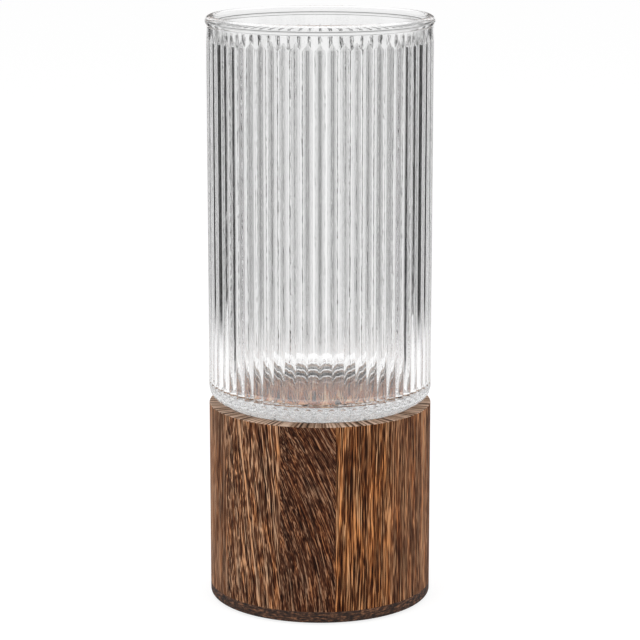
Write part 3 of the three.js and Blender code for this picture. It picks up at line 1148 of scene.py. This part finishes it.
    def floor(self) -> bpy.types.Object:
        """Makes the floor, a flat ring of quads closed by a fan at the middle.

        Returns:
            The floor, which is staging and no piece of the vase.
        """
        columns = self.floor_steps
        turn = 2 * np.pi * np.arange(columns) / columns
        fan_radius = 0.5
        radii = np.array([fan_radius, self.floor_radius])[:, None]
        grid = np.stack([radii * np.cos(turn), radii * np.sin(turn), 0 * radii * turn], -1)
        points = np.vstack([grid.reshape(-1, 3), [0, 0, 0]])
        first = np.arange(columns)
        fan = np.stack([first, np.roll(first, -1), np.full(columns, 2 * columns)], -1)
        quads = quads_between(2, columns)[:, ::-1]
        mesh = bpy.data.meshes.new("studio_floor")
        mesh.from_pydata(points.tolist(), [], fan.tolist() + quads.tolist())
        mesh.materials.append(self.floor_material())
        floor = bpy.data.objects.new("studio_floor", mesh)
        bpy.context.scene.collection.objects.link(floor)
        return floor

    def lights(self) -> None:
        """Hangs the softboxes, each turned to the object."""
        for lamp in self.lamps:
            data = bpy.data.lights.new(lamp.name, "AREA")
            data.shape = "DISK"
            data.size = lamp.size
            data.energy = lamp.watts
            light = bpy.data.objects.new(lamp.name, data)
            bpy.context.scene.collection.objects.link(light)
            light.location = lamp.place
            light.visible_glossy = False
            light.visible_transmission = False
            way = Vector(self.aim) - Vector(lamp.place)
            light.rotation_euler = way.to_track_quat("-Z", "Y").to_euler()

    def camera(self) -> None:
        """Sets the camera at the photograph's viewing angle."""
        data = bpy.data.cameras.new("camera")
        data.lens = self.lens
        data.sensor_width = 36.0
        camera = bpy.data.objects.new("camera", data)
        bpy.context.scene.collection.objects.link(camera)
        camera.location = self.eye
        camera.rotation_euler = (math.pi / 2 - self.tilt, 0.0, 0.0)
        bpy.context.scene.camera = camera

    def build(self) -> None:
        """Sets the whole studio up."""
        self.camera()
        self.surroundings()
        self.floor()
        self.lights()
        scene = bpy.context.scene
        scene.view_settings.view_transform = "Standard"
        scene.cycles.max_bounces = self.max_bounces
        scene.cycles.transmission_bounces = self.max_bounces
        scene.cycles.glossy_bounces = self.max_bounces
        log.info("studio: %d lamps, %d sides", len(self.lamps), self.sides)


def board_finishes() -> tuple[CharredBrushedWood, ...]:
    """Gives the figure of each board from left to right.

    The first has a light edge, the second leans and has a thin light stripe, the third has a bowed
    figure of short strokes, the fourth is the most orange, with fine straight streaks, and the last
    is quieter.

    Returns:
        One finish for each board.
    """
    brown = ("#341D11", "#593827", "#785239", "#946C51", "#C89A78")
    tan = ("#200D06", "#482A18", "#6A4430", "#90664A", "#DCAC86")
    chocolate = ("#1E0C05", "#3A1E10", "#523121", "#704A35", "#AC8264")
    orange = ("#1A0802", "#40220F", "#643E26", "#8C5C3A", "#DCA678")
    umber = ("#2A140A", "#52301E", "#724A30", "#906044", "#D0986C")
    return (
        CharredBrushedWood(seed=11.0, tones=brown, contrast=0.75, balance=-0.08,
                           stripes=(Stripe(-49.0, 2.4, 0.3), Stripe(-44.5, 2.0, -0.15),
                                    Stripe(-41.7, 0.5, 0.35))),
        CharredBrushedWood(seed=37.0, tones=tan, contrast=0.82, balance=-0.1, lean=0.1,
                           stripes=(Stripe(-26.6, 0.6, 0.9), Stripe(-18.0, 1.2, -0.35, from_height_mm=40.0))),
        CharredBrushedWood(seed=53.0, tones=chocolate, contrast=0.76, balance=-0.12,
                           bow_per_mm=0.003, bow_foot_mm=-10.0, streak_length_mm=9.0),
        CharredBrushedWood(seed=71.0, tones=orange, contrast=0.9, balance=-0.14, lean=-0.02,
                           streak_mm=0.34, streak_length_mm=26.0, ring_pitch_mm=1.25, warmth=0.6,
                           stripes=(Stripe(29.5, 3.0, 0.35, to_height_mm=62.0),)),
        CharredBrushedWood(seed=97.0, tones=umber, contrast=0.7, balance=-0.06, warmth=0.45,
                           stripes=(Stripe(46.5, 1.5, 0.35), Stripe(35.0, 2.5, -0.15))),
    )


def main() -> None:
    """Builds the studio and every piece of the vase, in order."""
    logging.basicConfig(level=logging.INFO, format="%(name)s: %(message)s")
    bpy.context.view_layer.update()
    Studio().build()
    vessel = GlassVessel()
    foot = FootParts()
    foot.felt()
    foot.plate()
    WoodBlock(finishes=board_finishes()).build()
    foot.film(vessel.bearing_width)
    vessel.build()


if __name__ == "__main__":
    main()
